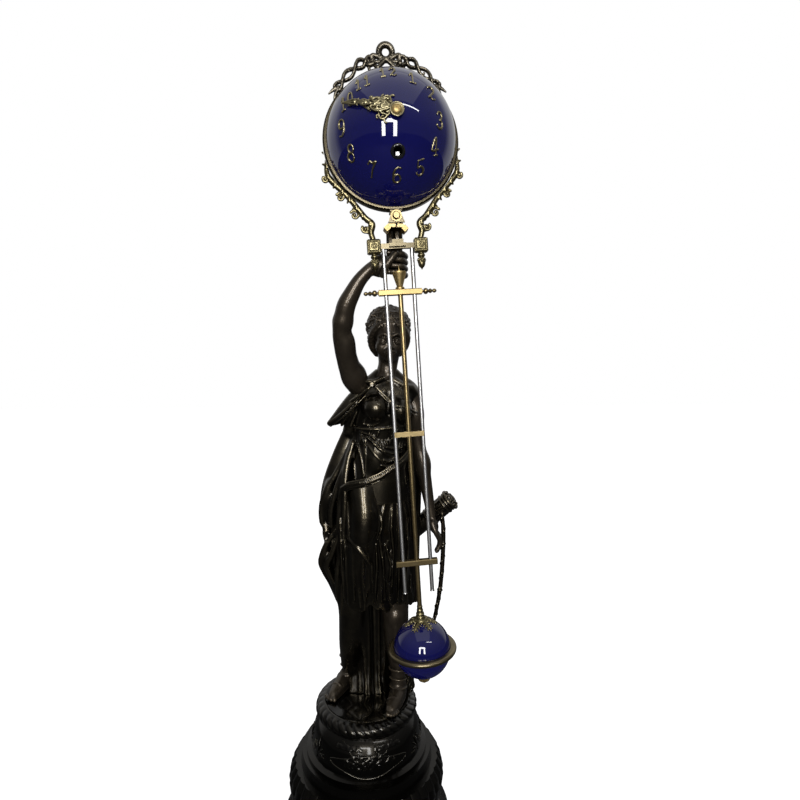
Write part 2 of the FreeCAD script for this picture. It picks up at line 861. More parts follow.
def corner_blocks():
    """A bevelled block under each arm, with an acorn drop below it."""
    half = "block_width / 2"
    bevel = "block_bevel"
    inner = f"block_offset - {half}"
    outer = f"block_offset + {half}"
    low = f"-({block_low})"
    high = "-(bar_drop - block_height / 2)"
    corners = [
        (f"{inner} + {bevel}", low),
        (f"{outer} - {bevel}", low),
        (outer, f"{low} + {bevel}"),
        (outer, f"{high} - {bevel}"),
        (f"{outer} - {bevel}", high),
        (f"{inner} + {bevel}", high),
        (inner, f"{high} - {bevel}"),
        (inner, f"{low} + {bevel}"),
    ]
    right = plate_body("corner_block_blank", corners, "block_depth")
    drop = [
        ("0", low),
        ("acorn_neck", low),
        ("acorn_neck", f"{low} - acorn_length / 6"),
        ("acorn_radius", f"{low} - acorn_length / 3"),
        ("acorn_radius", f"{low} - acorn_length / 2", "-acorn_length / 2"),
        ("0", f"{low} - acorn_length"),
    ]
    acorn = turned_on_z("acorn_blank", drop, x="block_offset")
    pair = [right, acorn]
    left = [mirrored("left_block", right), mirrored("left_acorn", acorn)]
    keep(together("corner_blocks", pair + left), "corner_blocks")


def cross_bar():
    """Bar between the blocks, with the stepped block on its front."""
    half = "(block_offset - block_width / 2)"
    bar = block(
        "plain_bar",
        (f"2 * {half}", "bar_depth", "bar_height"),
        (f"-{half}", "-bar_depth / 2", f"-({bar_under})"),
    )
    lower = block(
        "lower_step",
        ("step_width", "step_depth", "step_height"),
        ("-step_width / 2", "-bar_depth / 2 - step_depth", "-bar_drop - bar_height / 2 + step_height / 2"),
    )
    upper = block(
        "upper_step",
        ("upper_step_width", "step_depth", "upper_step_height"),
        (
            "-upper_step_width / 2",
            "-bar_depth / 2 - step_depth",
            "-bar_drop - bar_height / 2 + step_height * 3 / 2",
        ),
    )
    keep(joined("cross_bar", [bar, lower, upper]), "cross_bar")


scroll_arm(-1)
scroll_arm(1)
corner_blocks()
cross_bar()


def crest():
    """Wreath and bow over the ring, with a garland down each side to a forked end."""
    thick = size.crest_thickness
    front = -thick / 2
    wreath = Part.makeTorus(
        size.wreath_radius, size.wreath_tube, Vector(0, 0, size.wreath_rise), Vector(0, 1, 0)
    )
    top = size.ball_rise + size.ring_radius
    pieces = [Part.makeBox(size.crest_width, thick, size.wreath_rise - size.wreath_radius - top,
                           Vector(-size.crest_width / 2, front, top))]
    garland_shares = ((0.0, 0.0), (0.22, -0.03), (0.38, -0.16), (0.55, -0.38), (0.73, -0.63), (0.88, -0.86), (1.0, -1.0))
    width_shares = (0.9, 0.8, 1.1, 0.9, 1.2, 0.9, 0.5)
    reach = size.ring_radius * math.sin(math.radians(57))
    fall = size.loop_rise - size.ball_rise - size.ring_radius * math.cos(math.radians(48))
    for side in (-1, 1):
        points = [(side * x * reach, size.loop_rise + z * fall) for x, z in garland_shares]
        widths = [share * size.crest_width for share in width_shares]
        pieces.append(ribbon(points, widths, front, thick))
        loop_centre = (side * size.loop_offset, size.loop_rise)
        loop = disc(size.loop_radius, front, thick, *loop_centre)
        pieces.append(loop.cut(disc(size.loop_hole, front, thick, *loop_centre)))
    whole = wreath.multiFuse(pieces)
    room = disc(size.ring_radius, -thick, 2 * thick, 0, size.ball_rise)
    keep(shaped("crest", largest(whole.cut(room))), "crest")


crest()

# Pendulum below the frame


def steel_rods():
    """Two rods from the cross bar down past the lower bar, with round tips."""
    bottom = "-rod_end_drop"
    tip = "rod_tip_radius"
    corners = [
        ("0", f"-({bar_under})"),
        ("rod_radius", f"-({bar_under})"),
        ("rod_radius", f"{bottom} + {tip}"),
        (tip, f"{bottom}", f"-{tip}"),
        ("0", f"{bottom} - {tip}"),
    ]
    right = turned_on_z("steel_rod", corners, x="rod_offset")
    keep(together("steel_rods", [right, mirrored("left_rod", right)]), "steel_rods")


def rail(label, drop, half, height):
    """Bevelled bar across the three rods, bored for each."""
    bevel = "rail_bevel"
    low = f"-{drop} - {height} / 2"
    high = f"-{drop} + {height} / 2"
    corners = [
        ("rail_depth / 2", f"{low} + {bevel}"),
        ("rail_depth / 2", f"{high} - {bevel}"),
        (f"rail_depth / 2 - {bevel}", high),
        (f"{bevel} - rail_depth / 2", high),
        ("-rail_depth / 2", f"{high} - {bevel}"),
        ("-rail_depth / 2", f"{low} + {bevel}"),
        (f"{bevel} - rail_depth / 2", low),
        (f"rail_depth / 2 - {bevel}", low),
    ]
    body = new_body(label)
    sketch = new_sketch(body, "YZ")
    add_outline(sketch, corners)
    pad(body, sketch, f"2 * {half}")
    bores = new_sketch(body, "XY")
    add_circle(bores, "-rod_offset", "0", "rod_radius")
    add_circle(bores, "rod_offset", "0", "rod_radius")
    add_circle(bores, "0", "0", "centre_rod_radius")
    pocket = body.newObject("PartDesign::Pocket", f"{label}_bores")
    pocket.Profile = bores
    pocket.Type = "Length"
    bind(pocket, "Length", f"{drop} + {height}")
    keep(body, label)


def middle_bar():
    """Strap across the front of the rods, with a collar on the centre rod."""
    front = "-(rod_radius + middle_bar_depth)"
    strap = block(
        "strap",
        ("2 * middle_bar_half", "middle_bar_depth", "middle_bar_height"),
        ("-middle_bar_half", front, "-middle_bar_drop - middle_bar_height / 2"),
    )
    collar = rod("collar", "collar_radius", "middle_bar_height", z="-middle_bar_drop - middle_bar_height / 2")
    bore = rod("collar_bore", "centre_rod_radius", "middle_bar_drop", z="-1.5 * middle_bar_drop")
    keep(cut("middle_bar", joined("strap_and_collar", [strap, collar]), bore), "middle_bar")


def bar_finials():
    """Turned knobs on the ends of the upper bar."""
    start = "upper_bar_half"
    corners = [
        (start, "0"),
        (start, "finial_neck"),
        (f"{start} + finial_length * 0.12", "finial_neck"),
        (f"{start} + finial_length * 0.2", "finial_radius"),
        (f"{start} + finial_length * 0.3", "finial_radius"),
        (f"{start} + finial_length * 0.38", "finial_neck"),
        (f"{start} + finial_length * 0.48", "finial_neck"),
        (f"{start} + finial_length * 0.58", "finial_radius * 0.9"),
        (f"{start} + finial_length * 0.7", "finial_radius * 0.9"),
        (f"{start} + finial_length * 0.84", "finial_neck"),
        (f"{start} + finial_length", "finial_neck / 3"),
        (f"{start} + finial_length", "0"),
    ]
    right = turned_on_x("finial_blank", corners, z="-upper_bar_drop")
    keep(together("bar_finials", [right, mirrored("left_finial", right)]), "bar_finials")


def funnel_cup():
    """Funnel on the upper bar, round the top of the centre rod, with a pointed tip."""
    foot = "-upper_bar_drop + upper_bar_height / 2"
    corners = [
        ("centre_rod_radius", foot),
        ("cup_neck + cup_rim", foot),
        ("cup_neck + cup_rim", f"{foot} + cup_rim"),
        ("cup_neck", f"{foot} + 2 * cup_rim"),
        ("cup_radius", "-cup_top_drop - cup_rim"),
        ("cup_radius", "-cup_top_drop"),
        ("cup_tip_radius", "-cup_top_drop"),
        ("0", "-cup_top_drop + cup_tip_length"),
        ("0", "-cup_top_drop - cup_rim"),
        ("centre_rod_radius", "-cup_top_drop - cup_rim"),
    ]
    keep(turned_on_z("funnel_cup", corners), "funnel_cup")


def centre_rod():
    """Centre rod from the funnel down through the bob to the rating screw."""
    seat = "-bob_drop - bob_radius"
    tail = f"{seat} - bob_foot_gap - rating_nut_height - rating_screw_tail"
    corners = [
        ("0", "-cup_top_drop - cup_rim"),
        ("centre_rod_radius", "-cup_top_drop - cup_rim"),
        ("centre_rod_radius", f"{seat} + bob_wall"),
        ("rating_screw_radius", f"{seat} + bob_wall"),
        ("rating_screw_radius", tail),
        ("0", tail),
    ]
    keep(turned_on_z("centre_rod", corners), "centre_rod")


steel_rods()
rail("upper_bar", "upper_bar_drop", "upper_bar_half", "upper_bar_height")
rail("lower_bar", "lower_bar_drop", "lower_bar_half", "upper_bar_height")
middle_bar()
bar_finials()
funnel_cup()
centre_rod()

# Bob: two half shells, ring, leaf cap and rating nut

half_bob_web = "bob_web / 2"


def bob_shells():
    """The bob's halves, each bored at its pole for the rod."""
    width = "3 * bob_radius"
    corner = "-1.5 * bob_radius"
    low = block("upper_waste", (width, width, width), (corner, corner, f"-bob_drop + {half_bob_web} - {width}"))
    bore = rod("upper_bore", "centre_rod_radius", width, z="-bob_drop")
    half_shell("bob_upper_shell", "bob_radius", "bob_wall", "-bob_drop", low, [bore])
    high = block("lower_waste", (width, width, width), (corner, corner, f"-bob_drop - {half_bob_web}"))
    bore = rod("lower_bore", "rating_screw_radius", width, z=f"-bob_drop - {width}")
    half_shell("bob_lower_shell", "bob_radius", "bob_wall", "-bob_drop", high, [bore])


def bob_ring():
    """Rounded ring round the bob's joint, its web between the half shells."""
    bore = "bob_radius + bob_ring_fit"
    bead = "bob_ring_bead"
    corners = [
        ("bob_web_bore", f"-bob_drop - {half_bob_web}"),
        (bore, f"-bob_drop - {half_bob_web}"),
        (bore, f"-bob_drop - {bead}"),
        (f"bob_ring_radius - {bead}", f"-bob_drop - {bead}", bead),
        ("bob_ring_radius", "-bob_drop", bead),
        (f"bob_ring_radius - {bead}", f"-bob_drop + {bead}"),
        (bore, f"-bob_drop + {bead}"),
        (bore, f"-bob_drop + {half_bob_web}"),
        ("bob_web_bore", f"-bob_drop + {half_bob_web}"),
    ]
    keep(turned_on_z("bob_ring", corners), "bob_ring")


def leaf_cap():
    """Cap of leaves on the bob's crown, under the rod's socket."""
    centre = Vector(0, 0, -size.bob_drop)
    skin = Part.makeSphere(size.bob_radius + size.leaf_thickness, centre)
    skin = skin.cut(Part.makeSphere(size.bob_radius, centre))
    leaves = int(size.leaf_count)
    points = []
    for corner in range(4 * leaves):
        reach_shares = (1.0, 0.72, 0.0, 0.72)
        radius = size.leaf_notch + (size.leaf_reach - size.leaf_notch) * reach_shares[corner % 4]
        angle = math.pi * corner / (2 * leaves)
        points.append(Vector(radius * math.cos(angle), radius * math.sin(angle), -size.bob_drop))
    star = Part.Face(Part.makePolygon(points + points[:1])).extrude(Vector(0, 0, size.bob_radius + size.overrun))
    leaf = skin.common(star)
    bore = Part.makeCylinder(size.centre_rod_radius, size.bob_drop, centre)
    crown = -size.bob_drop + size.bob_radius
    outline = [
        (size.centre_rod_radius, crown - size.leaf_thickness),
        (size.bob_socket_radius, crown - size.leaf_thickness),
        (size.bob_socket_radius, crown + size.bob_socket_height * 0.2),
        (size.centre_rod_radius + size.leaf_thickness, crown + size.bob_socket_height * 0.42),
        (size.bob_socket_neck, crown + size.bob_socket_height * 0.55),
        (size.bob_socket_radius, crown + size.bob_socket_height * 0.9),
        (size.bob_socket_radius, crown + size.bob_socket_height),
        (size.centre_rod_radius, crown + size.bob_socket_height),
    ]
    points = [Vector(radius, 0, height) for radius, height in outline]
    socket = Part.Face(Part.makePolygon(points + points[:1])).revolve(Vector(), Vector(0, 0, 1), 360)
    socket = socket.cut(Part.makeSphere(size.bob_radius, centre))
    keep(shaped("leaf_cap", leaf.fuse(socket).cut(bore)), "leaf_cap")


def rating_nut():
    """Knurled nut under the bob, turned to raise or lower it."""
    top = -size.bob_drop - size.bob_radius - size.bob_foot_gap
    knurls = 18
    points = []
    for corner in range(2 * knurls):
        radius = size.rating_nut_radius - (corner % 2) * size.rating_screw_radius / 3
        angle = math.pi * corner / knurls
        points.append(Vector(radius * math.cos(angle), radius * math.sin(angle), top - size.rating_nut_height))
    nut = Part.Face(Part.makePolygon(points + points[:1])).extrude(Vector(0, 0, size.rating_nut_height))
    bore = Part.makeCylinder(
        size.rating_screw_radius + size.nut_play, size.bob_drop, Vector(0, 0, top - size.bob_drop / 2)
    )
    keep(shaped("rating_nut", nut.cut(bore)), "rating_nut")


bob_shells()
bob_ring()
leaf_cap()
rating_nut()

# Movement inside the ball. Depths run from the ball's middle, minus towards the dial.

CENTRE_TEETH = 54
TRAIN_LEAVES = 6
GREAT_TEETH = 48
CENTRE_LEAVES = 8
ESCAPE_TEETH = 24
CANNON_TEETH = 12
MINUTE_TEETH = 36
MINUTE_LEAVES = 10
HOUR_TEETH = 40
RATCHET_TEETH = 16

rise = size.ball_rise
third_angle = math.radians(125)
escape_angle = math.radians(14)
third_x = size.third_distance * math.cos(third_angle)
third_z = rise + size.third_distance * math.sin(third_angle)
escape_x = third_x + size.escape_distance * math.cos(escape_angle)
escape_z = third_z + size.escape_distance * math.sin(escape_angle)
pallet_z = escape_z + size.pallet_rise
barrel_z = rise - size.winding_drop
minute_x = -size.motion_distance
great_module = 2 * size.winding_drop / (GREAT_TEETH + CENTRE_LEAVES)
centre_module = 2 * size.third_distance / (CENTRE_TEETH + TRAIN_LEAVES)
third_module = 2 * size.escape_distance / (CENTRE_TEETH + TRAIN_LEAVES)
cannon_module = 2 * size.motion_distance / (CANNON_TEETH + MINUTE_TEETH)
hour_module = 2 * size.motion_distance / (MINUTE_LEAVES + HOUR_TEETH)
WHEEL_SLENDER = 0.9
PINION_SLENDER = 0.86
down = -math.pi / 2


def arbor(x, z, radius=None):
    """Arbor between the plates, with a thinner pivot through each plate."""
    body_radius = size.arbor_radius if radius is None else radius
    front = -size.front_plate_set
    back = size.back_plate_set
    start = front + size.plate_thickness + size.end_shake
    between = disc(body_radius, start, back - size.end_shake - start, x, z)
    return between.fuse(disc(size.arbor_tip, front, back - front + size.plate_thickness, x, z))


def movement_front_plate():
    """Front plate with its pivot holes and the minute wheel's stud."""
    hole = size.arbor_tip + size.pivot_hole_play
    depth = -size.front_plate_set
    plate = disc(size.front_plate_radius, depth, size.plate_thickness, 0, rise)
    holes = [
        disc(size.arbor_radius + size.pivot_hole_play, depth, size.plate_thickness, 0, rise),
        disc(size.winding_radius + size.pivot_hole_play, depth, size.plate_thickness, 0, barrel_z),
        disc(hole, depth, size.plate_thickness, third_x, third_z),
        disc(hole, depth, size.plate_thickness, escape_x, escape_z),
        disc(hole, depth, size.plate_thickness, escape_x, pallet_z),
    ]
    stud = disc(size.stud_radius, -size.minute_pinion_set, size.minute_pinion_set + depth, minute_x, rise)
    keep(shaped("movement_front_plate", plate.cut(holes).fuse(stud)), "movement_front_plate")


def movement_back_plate():
    """Back plate, wide enough to screw to the standoffs on the ring's web."""
    hole = size.arbor_tip + size.pivot_hole_play
    depth = size.back_plate_set
    plate = disc(size.back_plate_radius, depth, size.plate_thickness, 0, rise)
    holes = [disc(hole, depth, size.plate_thickness, x, z) for x, z in (
        (0, rise), (third_x, third_z), (escape_x, escape_z), (escape_x, pallet_z),
    )]
    holes.append(disc(size.winding_radius + size.pivot_hole_play, depth, size.plate_thickness, 0, barrel_z))
    keep(shaped("movement_back_plate", plate.cut(holes)), "movement_back_plate")


def movement_pillars():
    """Four pillars between the plates, and three standoffs from the ring's web to the back plate."""
    front = -size.front_plate_set + size.plate_thickness
    places = [
        (-size.pillar_high_x, size.pillar_high_z),
        (size.pillar_high_x, size.pillar_high_z),
        (-size.pillar_low_x, -size.pillar_low_z),
        (size.pillar_low_x, -size.pillar_low_z),
    ]
    solids = [disc(size.pillar_radius, front, size.back_plate_set - front, x, rise + z) for x, z in places]
    start = size.web_thickness / 2
    for angle in (90, 205, 335):
        x = size.standoff_circle * math.cos(math.radians(angle))
        z = rise + size.standoff_circle * math.sin(math.radians(angle))
        solids.append(disc(size.standoff_radius, start, size.back_plate_set - start, x, z))
    keep(shaped("movement_pillars", Part.makeCompound(solids)), "movement_pillars")


def mainspring_barrel():
    """Closed drum with the great wheel on its back cover."""
    inner = size.winding_radius + size.pivot_hole_play
    front = -size.barrel_front
    back = size.barrel_back
    drum = disc(size.barrel_radius, front, back - front, 0, barrel_z)
    room = disc(
        size.barrel_radius - size.barrel_wall, front + size.barrel_wall,
        back - front - 2 * size.barrel_wall, 0, barrel_z,
    )
    wheel = toothed(
        GREAT_TEETH, great_module, back, size.great_wheel_width, 0, barrel_z, math.pi / 2, WHEEL_SLENDER
    )
    bore = disc(inner, front, back - front + size.great_wheel_width, 0, barrel_z)
    keep(shaped("mainspring_barrel", drum.cut(room).fuse(wheel).cut(bore)), "mainspring_barrel")


def mainspring():
    """Flat spring coiled in the drum, from half turns of growing radius."""
    front = -size.barrel_front + size.barrel_wall + size.spring_gap
    width = size.barrel_front + size.barrel_back - 2 * size.barrel_wall - 2 * size.spring_gap
    room = size.barrel_radius - size.barrel_wall - size.spring_strip - size.spring_gap
    turns = int((room - size.spring_start) / size.spring_pitch)
    edges = []
    for shift in (0, size.spring_strip):
        for half in range(2 * turns):
            radius = size.spring_start + shift + half * size.spring_pitch / 2
            sign = 1 if half % 2 == 0 else -1
            centre = Vector(0 if sign > 0 else size.spring_pitch / 2, front, barrel_z)
            start = centre + Vector(sign * radius, 0, 0)
            middle = centre + Vector(0, 0, sign * radius)
            end = centre - Vector(sign * radius, 0, 0)
            edges.append(Part.Arc(start, middle, end).toShape())
    count = 2 * turns
    edges.append(Part.makeLine(edges[0].Vertexes[0].Point, edges[count].Vertexes[0].Point))
    edges.append(Part.makeLine(edges[count - 1].Vertexes[-1].Point, edges[2 * count - 1].Vertexes[-1].Point))
    wire = Part.Wire(Part.sortEdges(edges)[0])
    coil = Part.Face(wire).extrude(Vector(0, width, 0))
    keep(shaped("mainspring", coil), "mainspring")


def winding_arbor():
    """Barrel arbor with its ratchet wheel in front of the front plate, squared for the key."""
    front = -size.front_plate_set
    shaft = disc(size.winding_radius, front - size.ratchet_width, size.back_plate_set + size.plate_thickness
                 - front + size.ratchet_width, 0, barrel_z)
    neck = disc(size.winding_square / 2, -size.winding_square_reach, size.winding_square_reach + front, 0, barrel_z)
    half = size.winding_square / 2
    square = Part.makeBox(
        2 * half, size.winding_square_reach + front, 2 * half, Vector(-half, -size.winding_square_reach, barrel_z - half)
    )
    points = []
    for tooth in range(RATCHET_TEETH):
        angle = math.pi / 2 + 2 * math.pi * tooth / RATCHET_TEETH
        for radius, lag in ((size.ratchet_radius - size.ratchet_depth, 0.0), (size.ratchet_radius, 0.05)):
            turn = angle + lag * 2 * math.pi / RATCHET_TEETH
            points.append((radius * math.cos(turn), barrel_z + radius * math.sin(turn)))
    ratchet = front_face(points, front - size.ratchet_width - size.click_gap, size.ratchet_width)
    whole = shaft.fuse([neck, square, ratchet]).removeSplitter()
    keep(shaped("winding_arbor", whole), "winding_arbor")


def click():
    """Pawl that holds the ratchet, on its screw in the front plate."""
    depth = -size.front_plate_set - size.ratchet_width - size.click_gap
    pivot = (size.click_arm, barrel_z + size.ratchet_radius)
    tip_x = size.click_width / 2
    tip_z = barrel_z + size.ratchet_radius - size.ratchet_depth / 2 + size.click_gap
    points = [
        (tip_x, tip_z),
        (pivot[0], pivot[1] - size.click_width / 2),
        (pivot[0], pivot[1] + size.click_width / 2),
        (tip_x, tip_z + size.click_width),
    ]
    arm = front_face(points, depth, size.click_thickness)
    boss = disc(size.click_width, depth, size.click_thickness, *pivot)
    screw = disc(size.arbor_radius, depth, -size.front_plate_set - depth, *pivot)
    keep(shaped("click", arm.fuse([boss, screw]).removeSplitter()), "click")


def centre_wheel():
    """Centre arbor with its wheel and pinion, long enough to carry the hands."""
    front = -size.ball_radius - size.minute_hand_float - size.hand_thickness - size.hub_nut_height
    back = size.back_plate_set
    shaft = disc(size.arbor_radius, front, back - size.end_shake - front, 0, rise)
    tip = disc(size.arbor_tip, front, back + size.plate_thickness - front, 0, rise)
    depth = -size.centre_wheel_set
    wheel = toothed(
        CENTRE_TEETH, centre_module, depth, size.wheel_width, 0, rise, third_angle, WHEEL_SLENDER
    )
    wheel = crossed(wheel, CENTRE_TEETH * centre_module / 2, depth, size.wheel_width, 0, rise, 4)
    step = 2 * math.pi / CENTRE_LEAVES
    pinion = toothed(
        CENTRE_LEAVES, great_module, size.centre_pinion_set, size.pinion_width, 0, rise,
        down + step / 2, PINION_SLENDER,
    )
    collet = disc(size.collet_radius, depth, size.wheel_width * 2, 0, rise)
    keep(shaped("centre_wheel", shaft.fuse([tip, wheel, pinion, collet])), "centre_wheel")


def third_wheel():
    """Third wheel with its pinion on one arbor."""
    step = 2 * math.pi / TRAIN_LEAVES
    pinion = toothed(
        TRAIN_LEAVES, centre_module, -size.third_pinion_set, size.pinion_width, third_x, third_z,
        third_angle + math.pi + step / 2, PINION_SLENDER,
    )
    depth = -size.third_wheel_set
    wheel = toothed(
        CENTRE_TEETH, third_module, depth, size.wheel_width, third_x, third_z, escape_angle, WHEEL_SLENDER
    )
    wheel = crossed(wheel, CENTRE_TEETH * third_module / 2, depth, size.wheel_width, third_x, third_z, 4)
    collet = disc(size.collet_radius, depth, size.wheel_width * 2, third_x, third_z)
    keep(shaped("third_wheel", arbor(third_x, third_z).fuse([pinion, wheel, collet])), "third_wheel")


def escape_wheel():
    """Escape wheel with pointed teeth, and its pinion."""
    step = 2 * math.pi / TRAIN_LEAVES
    pinion = toothed(
        TRAIN_LEAVES, third_module, -size.escape_pinion_set, size.pinion_width, escape_x, escape_z,
        escape_angle + math.pi + step / 2, PINION_SLENDER,
    )
    points = []
    for tooth in range(ESCAPE_TEETH):
        angle = math.pi / 2 + 2 * math.pi * (tooth + 0.5) / ESCAPE_TEETH
        for radius, lag in ((size.escape_radius - size.escape_tooth, -0.3), (size.escape_radius, 0.0),
                            (size.escape_radius - size.escape_tooth, 0.14)):
            turn = angle + lag * 2 * math.pi / ESCAPE_TEETH
            points.append((escape_x + radius * math.cos(turn), escape_z + radius * math.sin(turn)))
    wheel = front_face(points, size.escape_wheel_set, size.wheel_width)
    wheel = crossed(
        wheel, size.escape_radius - size.escape_tooth / 2, size.escape_wheel_set, size.wheel_width,
        escape_x, escape_z, 3,
    )
    collet = disc(size.collet_radius, size.escape_wheel_set, size.wheel_width * 2, escape_x, escape_z)
    keep(shaped("escape_wheel", arbor(escape_x, escape_z).fuse([pinion, wheel, collet])), "escape_wheel")


def pallets():
    """Pallets over the escape wheel on one arbor with the crutch and the short pendulum behind."""
    depth = size.escape_wheel_set - (size.pallet_width - size.wheel_width) / 2
    reach_angle = math.radians(45)
    tip_radius = size.escape_radius + size.pallet_clear
    solids = [arbor(escape_x, pallet_z)]
    for side in (-1, 1):
        tip = (
            escape_x + side * tip_radius * math.sin(reach_angle),
            escape_z + tip_radius * math.cos(reach_angle),
        )
        elbow = (tip[0] + side * size.pallet_tip, pallet_z - size.pallet_arm / 2)
        arm = [
            (escape_x, pallet_z - size.pallet_arm / 2),
            (elbow[0], elbow[1]),
            (elbow[0], elbow[1] + size.pallet_arm),
            (escape_x, pallet_z + size.pallet_arm / 2),
        ]
        leg = [
            tip,
            (tip[0] + side * size.pallet_tip, tip[1] + size.pallet_tip / 2),
            (elbow[0], elbow[1] + size.pallet_arm / 2),
            (tip[0], elbow[1] + size.pallet_arm / 2),
        ]
        solids.append(front_face(arm, depth, size.pallet_width))
        solids.append(front_face(leg, depth, size.pallet_width))
    back = size.back_plate_set
    tail = disc(size.arbor_tip, back, size.crutch_set - back + size.inner_bob_thickness, escape_x, pallet_z)
    low = pallet_z - size.inner_rod_length
    hang_rod = Part.makeCylinder(
        size.inner_rod_radius, size.inner_rod_length,
        Vector(escape_x, size.crutch_set + size.inner_bob_thickness / 2, low),
    )
    bob = disc(size.inner_bob_radius, size.crutch_set, size.inner_bob_thickness, escape_x, low)
    solids += [tail, hang_rod, bob]
    keep(shaped("pallets_and_inner_pendulum", solids[0].fuse(solids[1:])), "pallets_and_inner_pendulum")


def hub_seat(float_height, radius):
    """How far out a pipe reaches to meet the curved back of its hand."""
    return math.sqrt((size.ball_radius + float_height) ** 2 - radius ** 2)


def cannon_pinion():
    """Cannon pinion, friction tight on the centre arbor, its pipe carrying the minute hand."""
    front = -hub_seat(size.minute_hand_float, size.cannon_pipe_radius)
    pipe = disc(size.cannon_pipe_radius, front, -front - size.cannon_set + size.cannon_width, 0, rise)
    teeth = toothed(
        CANNON_TEETH, cannon_module, -size.cannon_set, size.cannon_width, 0, rise,
        math.pi + math.pi / CANNON_TEETH, PINION_SLENDER,
    )
    bore = disc(size.arbor_radius, front, -front, 0, rise)
    keep(shaped("cannon_pinion", pipe.fuse(teeth).cut(bore)), "cannon_pinion")


def minute_wheel():
    """Minute wheel and its pinion, on the stud."""
    wheel = toothed(
        MINUTE_TEETH, cannon_module, -size.minute_wheel_set, size.wheel_width, minute_x, rise, 0, WHEEL_SLENDER
    )
    pinion = toothed(
        MINUTE_LEAVES, hour_module, -size.minute_pinion_set, size.minute_pinion_set - size.minute_wheel_set
        + size.wheel_width / 2, minute_x, rise, math.pi / MINUTE_LEAVES, PINION_SLENDER,
    )
    bore = disc(
        size.stud_radius + size.pivot_hole_play, -size.minute_pinion_set, size.minute_pinion_set, minute_x, rise
    )
    keep(shaped("minute_wheel", wheel.fuse(pinion).cut(bore)), "minute_wheel")


def hour_wheel():
    """Hour wheel, whose pipe turns on the cannon pinion's and carries the hour hand."""
    inner = size.cannon_pipe_radius + size.hour_pipe_play
    front = -hub_seat(size.hour_hand_float, inner + size.hour_pipe_wall)
    pipe = disc(inner + size.hour_pipe_wall, front, -front - size.hour_wheel_set + size.wheel_width, 0, rise)
    wheel = toothed(
        HOUR_TEETH, hour_module, -size.hour_wheel_set, size.wheel_width, 0, rise, math.pi, WHEEL_SLENDER
    )
    bore = disc(inner, front, -front, 0, rise)
    keep(shaped("hour_wheel", pipe.fuse(wheel).cut(bore)), "hour_wheel")


def hand(label, float_height, length, bore):
    """Fretted hand, bent to follow the ball, pointing as photographed."""
    centre = Vector(0, 0, rise)
    inner = size.ball_radius + float_height
    skin = Part.makeSphere(inner + size.hand_thickness, centre).cut(Part.makeSphere(inner, centre))
    stem = size.hand_stem_width / 2
    broad = size.hand_body_width / 2
    right_shares = ((0.0, 0.0), (0.30, 0.0), (0.42, 0.9), (0.55, 1.0), (0.66, 0.55), (0.72, 0.75), (0.80, 0.3))
    half = [(stem + (broad - stem) * bulge, length * along) for along, bulge in right_shares]
    outline = half + [(0, length)] + [(-x, z) for x, z in reversed(half)]
    eye = [(x * 0.45, z) for x, z in ((0, length * 0.36), (broad, length * 0.5), (0, length * 0.63), (-broad, length * 0.5))]
    slab = front_face([(x, rise + z) for x, z in outline], -inner - size.overrun, size.overrun + inner / 2)
    slot = front_face([(x, rise + z) for x, z in eye], -inner - size.overrun, size.overrun + inner / 2)
    slab = slab.cut(slot)
    slab.rotate(centre, Vector(0, 1, 0), size.hand_angle)
    hub = disc(size.hand_hub_radius, -inner - size.overrun, size.overrun + inner / 2, 0, rise)
    hole = disc(bore, -inner - size.overrun, size.overrun + inner, 0, rise)
    solid = skin.common(slab.fuse(hub)).cut(hole)
    keep(shaped(label, largest(solid)), label)


def hub_nut():
    """Round nut that holds the minute hand."""
    front = "-ball_radius - minute_hand_float - hand_thickness"
    corners = [
        (front, "arbor_radius"),
        (front, "hub_nut_radius"),
        (f"{front} - hub_nut_height / 2", "hub_nut_radius"),
        (f"{front} - hub_nut_height", "hub_nut_radius * 0.6"),
        (f"{front} - hub_nut_height", "arbor_radius"),
    ]
    keep(turned_on_y("hub_nut", corners, z="ball_rise"), "hub_nut")


movement_front_plate()
movement_back_plate()
movement_pillars()
mainspring_barrel()
mainspring()
winding_arbor()
click()
centre_wheel()
third_wheel()
escape_wheel()
pallets()
cannon_pinion()
minute_wheel()
hour_wheel()
hand("hour_hand", size.hour_hand_float, size.hour_hand_length, size.cannon_pipe_radius + size.hour_pipe_play)
hand("minute_hand", size.minute_hand_float, size.minute_hand_length, size.arbor_radius)
hub_nut()

# Base


